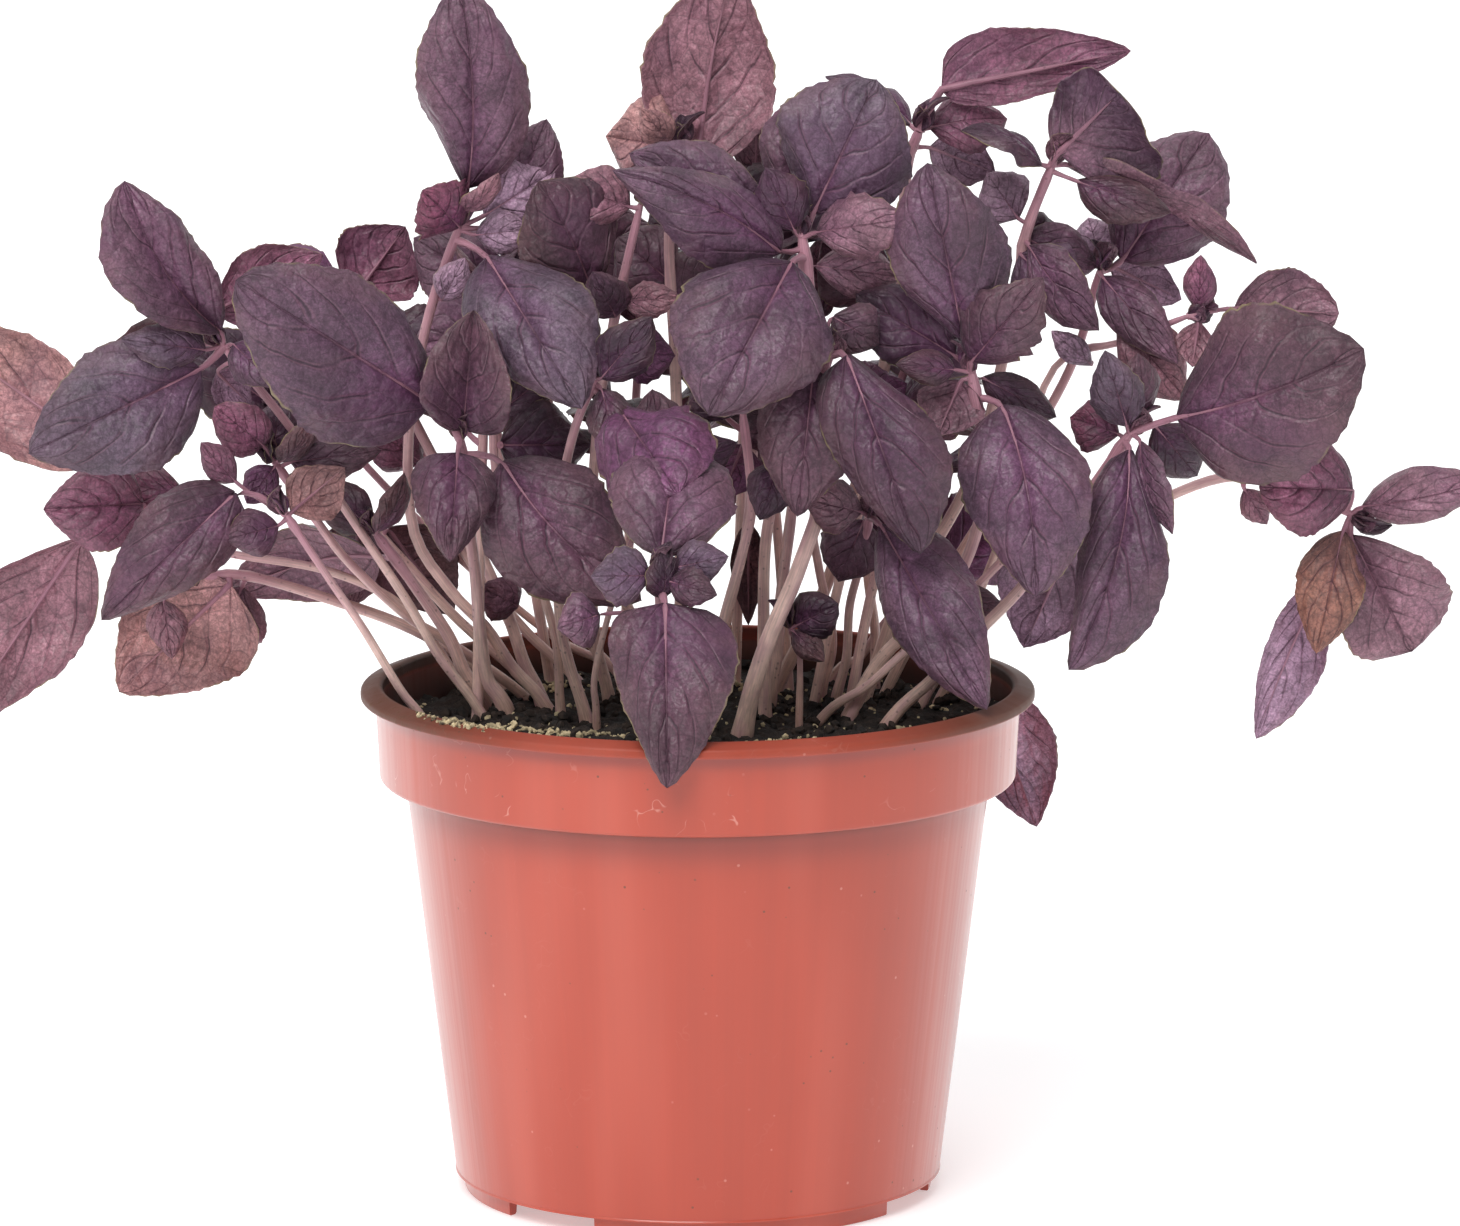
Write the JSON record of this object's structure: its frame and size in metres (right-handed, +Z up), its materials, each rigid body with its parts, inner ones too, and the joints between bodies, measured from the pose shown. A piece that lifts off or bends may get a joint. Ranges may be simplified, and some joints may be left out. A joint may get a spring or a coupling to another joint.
{
  "type": "potted basil plant",
  "caption": "Dark-leaved purple basil growing in a terracotta-coloured plastic nursery pot filled with soil.",
  "frame": {"origin": "centre of the pot's foot circle, on the surface that the pot stands on", "axes": "+Z up, -Y the pictured front, +X to the right seen from the front, along the widest spread of the crown"},
  "size_m": [0.2817, 0.1267, 0.2174],
  "materials": {
    "pot": "satin, thin moulded polypropylene",
    "soil": "moist, crumbly potting soil with pale grit",
    "foliage": "soft sheen, finely veined leaves on pink stems"
  },
  "bodies": {
    "root": {"pot": "pot", "soil": "soil", "stem_back_02": "foliage", "stem_back_03": "foliage", "stem_back_04": "foliage", "stem_back_05": "foliage", "stem_back_07": "foliage", "stem_back_09": "foliage", "stem_back_14": "foliage", "stem_back_15": "foliage", "stem_center": "foliage", "stem_center_back_left": "foliage", "stem_center_curled": "foliage", "stem_center_fan": "foliage", "stem_center_fan_left": "foliage", "stem_center_fan_right": "foliage", "stem_center_rear": "foliage", "stem_center_right": "foliage", "stem_center_slim": "foliage", "stem_center_tall": "foliage", "stem_front": "foliage", "stem_inner_left": "foliage", "stem_left_back": "foliage", "stem_left_fan": "foliage", "stem_left_fan_rear": "foliage", "stem_left_front": "foliage", "stem_left_inner": "foliage", "stem_left_low": "foliage", "stem_left_outer": "foliage", "stem_left_rear": "foliage", "stem_left_tall": "foliage", "stem_left_upper": "foliage", "stem_left_wing": "foliage", "stem_left_young": "foliage", "stem_rear_drape": "foliage", "stem_right_broad": "foliage", "stem_right_drape": "foliage", "stem_right_fan": "foliage", "stem_right_fan_rear": "foliage", "stem_right_far": "foliage", "stem_right_high": "foliage", "stem_right_inner": "foliage", "stem_right_mid": "foliage", "stem_right_small": "foliage", "stem_right_top": "foliage", "stem_right_wing": "foliage", "stem_seedling_left": "foliage", "stem_seedling_right": "foliage"}
  },
  "joints": []
}
